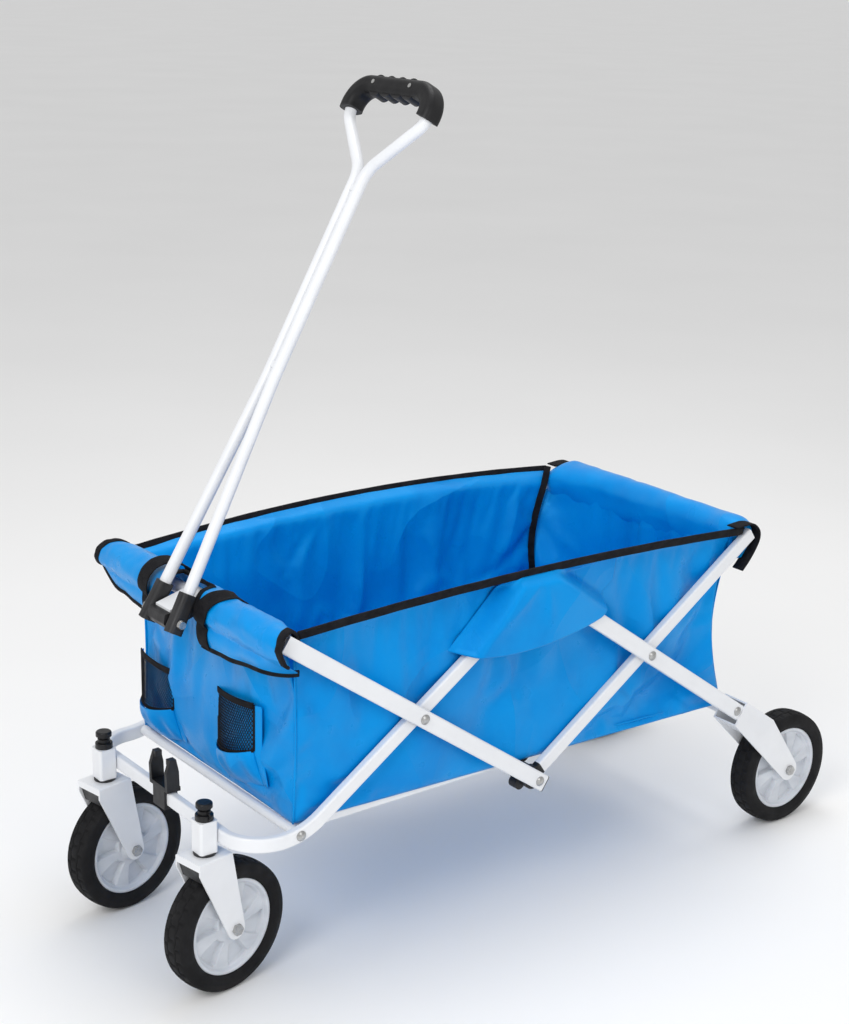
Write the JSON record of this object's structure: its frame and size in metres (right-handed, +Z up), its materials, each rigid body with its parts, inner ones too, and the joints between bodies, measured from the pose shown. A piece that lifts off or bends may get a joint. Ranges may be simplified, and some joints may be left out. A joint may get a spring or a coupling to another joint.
{
  "type": "folding beach cart",
  "caption": "Folding beach cart: scissor frame, fabric tub, tow handle with a loop grip, wide wheels, fixed at the back and swivelling in front.",
  "frame": {"origin": "on the ground under the middle of the open cart's box", "axes": "+X towards the tow handle and the swivel casters, +Y to the cart's left side, +Z up; the wheels stand on z = 0"},
  "size_m": [1.1523, 0.459, 1.1493],
  "materials": {
    "painted_frame": "white powder coat, satin",
    "black_fittings": "moulded, fine grain",
    "release_caps": "moulded, satin",
    "grip": "soft-touch, ribbed",
    "bolts": "zinc plated",
    "tyres": "blocked tread, matte side walls",
    "rims": "moulded light grey, satin",
    "tub_fabric": "coated woven polyester, slight sheen"
  },
  "bodies": {
    "centre": {"centre_tube": "painted_frame", "centre_end_blocks": "black_fittings", "centre_pivot_bolts": "bolts"},
    "front_scissor": {"front_scissor_bar_left": "painted_frame", "front_scissor_bar_right": "painted_frame", "front_bar_caps": "black_fittings", "front_top_tube": "painted_frame", "front_crossing_bolts": "bolts", "handle_bracket": "painted_frame", "handle_block": "black_fittings", "handle_pivot_bolt": "bolts"},
    "rear_scissor": {"rear_scissor_bar_left": "painted_frame", "rear_scissor_bar_right": "painted_frame", "rear_bar_knuckles": "black_fittings", "rear_top_tube": "painted_frame", "rear_crossing_bolts": "bolts"},
    "front_frame": {"front_frame_tube": "painted_frame", "caster_post_left": "painted_frame", "caster_post_right": "painted_frame", "caster_bushes": "black_fittings", "release_collars": "release_caps", "handle_clip": "black_fittings", "top_pivot_bolts": "bolts", "floor_pivot_bolts_front": "bolts"},
    "rear_frame": {"rear_frame_bar_left": "painted_frame", "rear_frame_bar_right": "painted_frame", "rear_fork_left": "painted_frame", "rear_fork_right": "painted_frame", "rear_axle_left": "bolts", "rear_axle_right": "bolts", "rear_cross_tube": "painted_frame", "floor_pivot_bolts_rear": "bolts"},
    "floor_front": {"floor_frame_front": "painted_frame", "floor_hinge_lugs_front": "black_fittings"},
    "floor_rear": {"floor_frame_rear": "painted_frame", "floor_hinge_lugs_rear": "black_fittings"},
    "basket": {"basket": "tub_fabric"},
    "handle": {"handle_tube": "painted_frame", "handle_grip": "grip", "grip_screws": "bolts", "handle_sleeves": "black_fittings"},
    "caster_left": {"caster_fork_left": "painted_frame", "caster_guard_left": "black_fittings", "caster_stem_left": "bolts", "caster_axle_left": "bolts"},
    "wheel_front_left": {"tyre_front_left": "tyres", "rim_front_left": "rims"},
    "wheel_rear_left": {"tyre_rear_left": "tyres", "rim_rear_left": "rims"},
    "button_left": {"release_button_left": "release_caps"},
    "caster_right": {"caster_fork_right": "painted_frame", "caster_guard_right": "black_fittings", "caster_stem_right": "bolts", "caster_axle_right": "bolts"},
    "wheel_front_right": {"tyre_front_right": "tyres", "rim_front_right": "rims"},
    "wheel_rear_right": {"tyre_rear_right": "tyres", "rim_rear_right": "rims"},
    "button_right": {"release_button_right": "release_caps"}
  },
  "joints": [
    {"name": "fold", "type": "hinge", "parent": "centre", "child": "front_scissor", "pos_m": [0.0318, 0, 0.207], "axis": [0, -1, 0], "range_deg": [0, 42]},
    {"name": "rear_scissor_fold", "type": "hinge", "parent": "centre", "child": "rear_scissor", "pos_m": [0.0318, 0, 0.207], "axis": [0, -1, 0], "range_deg": [-42, 0]},
    {"name": "front_frame_fold", "type": "hinge", "parent": "front_scissor", "child": "front_frame", "pos_m": [0.23586, 0, 0.34882], "axis": [0, -1, 0], "range_deg": [-84, 0]},
    {"name": "rear_frame_fold", "type": "hinge", "parent": "rear_scissor", "child": "rear_frame", "pos_m": [-0.17226, 0, 0.34882], "axis": [0, -1, 0], "range_deg": [0, 84]},
    {"name": "floor_front_fold", "type": "hinge", "parent": "front_frame", "child": "floor_front", "pos_m": [0.4198, 0, 0.22895], "axis": [0, -1, 0], "range_deg": [-31, 0]},
    {"name": "floor_rear_fold", "type": "hinge", "parent": "rear_frame", "child": "floor_rear", "pos_m": [-0.35989, 0, 0.21841], "axis": [0, -1, 0], "range_deg": [0, 30.5]},
    {"name": "tub_gather", "type": "slide", "parent": "centre", "child": "basket", "axis": [0, 0, 1], "range_m": [0, 0.2025], "deforming": ["basket"]},
    {"name": "handle_swing", "type": "hinge", "parent": "front_scissor", "child": "handle", "pos_m": [0.4941, 0, 0.4778], "axis": [0, 1, 0], "range_deg": [0, 150]},
    {"name": "caster_swivel_left", "type": "hinge", "parent": "front_frame", "child": "caster_left", "pos_m": [0.5172, 0.1338, 0.202], "axis": [0, 0, 1], "continuous": true},
    {"name": "wheel_front_spin_left", "type": "hinge", "parent": "caster_left", "child": "wheel_front_left", "pos_m": [0.48539, 0.12819, 0.09], "axis": [-0.1736, 0.9848, 0], "continuous": true},
    {"name": "wheel_rear_spin_left", "type": "hinge", "parent": "rear_frame", "child": "wheel_rear_left", "pos_m": [-0.4862, 0.2, 0.09], "axis": [0, 1, 0], "continuous": true},
    {"name": "button_press_left", "type": "slide", "parent": "front_frame", "child": "button_left", "axis": [0, 0, -1], "range_m": [0, 0.004], "stiffness_N_per_m": 500},
    {"name": "caster_swivel_right", "type": "hinge", "parent": "front_frame", "child": "caster_right", "pos_m": [0.5172, -0.1338, 0.202], "axis": [0, 0, 1], "continuous": true},
    {"name": "wheel_front_spin_right", "type": "hinge", "parent": "caster_right", "child": "wheel_front_right", "pos_m": [0.48539, -0.13941, 0.09], "axis": [-0.1736, 0.9848, 0], "continuous": true},
    {"name": "wheel_rear_spin_right", "type": "hinge", "parent": "rear_frame", "child": "wheel_rear_right", "pos_m": [-0.4862, -0.2, 0.09], "axis": [0, 1, 0], "continuous": true},
    {"name": "button_press_right", "type": "slide", "parent": "front_frame", "child": "button_right", "axis": [0, 0, -1], "range_m": [0, 0.004], "stiffness_N_per_m": 500}
  ],
  "couplings": [
    {"joint": "rear_scissor_fold", "follows": "fold", "ratio": -1},
    {"joint": "front_frame_fold", "follows": "fold", "ratio": -2},
    {"joint": "rear_frame_fold", "follows": "fold", "ratio": 2},
    {"joint": "floor_front_fold", "follows": "fold", "ratio": -0.7281},
    {"joint": "floor_rear_fold", "follows": "fold", "ratio": 0.7114},
    {"joint": "tub_gather", "follows": "fold", "m_per_rad": 0.2748}
  ]
}
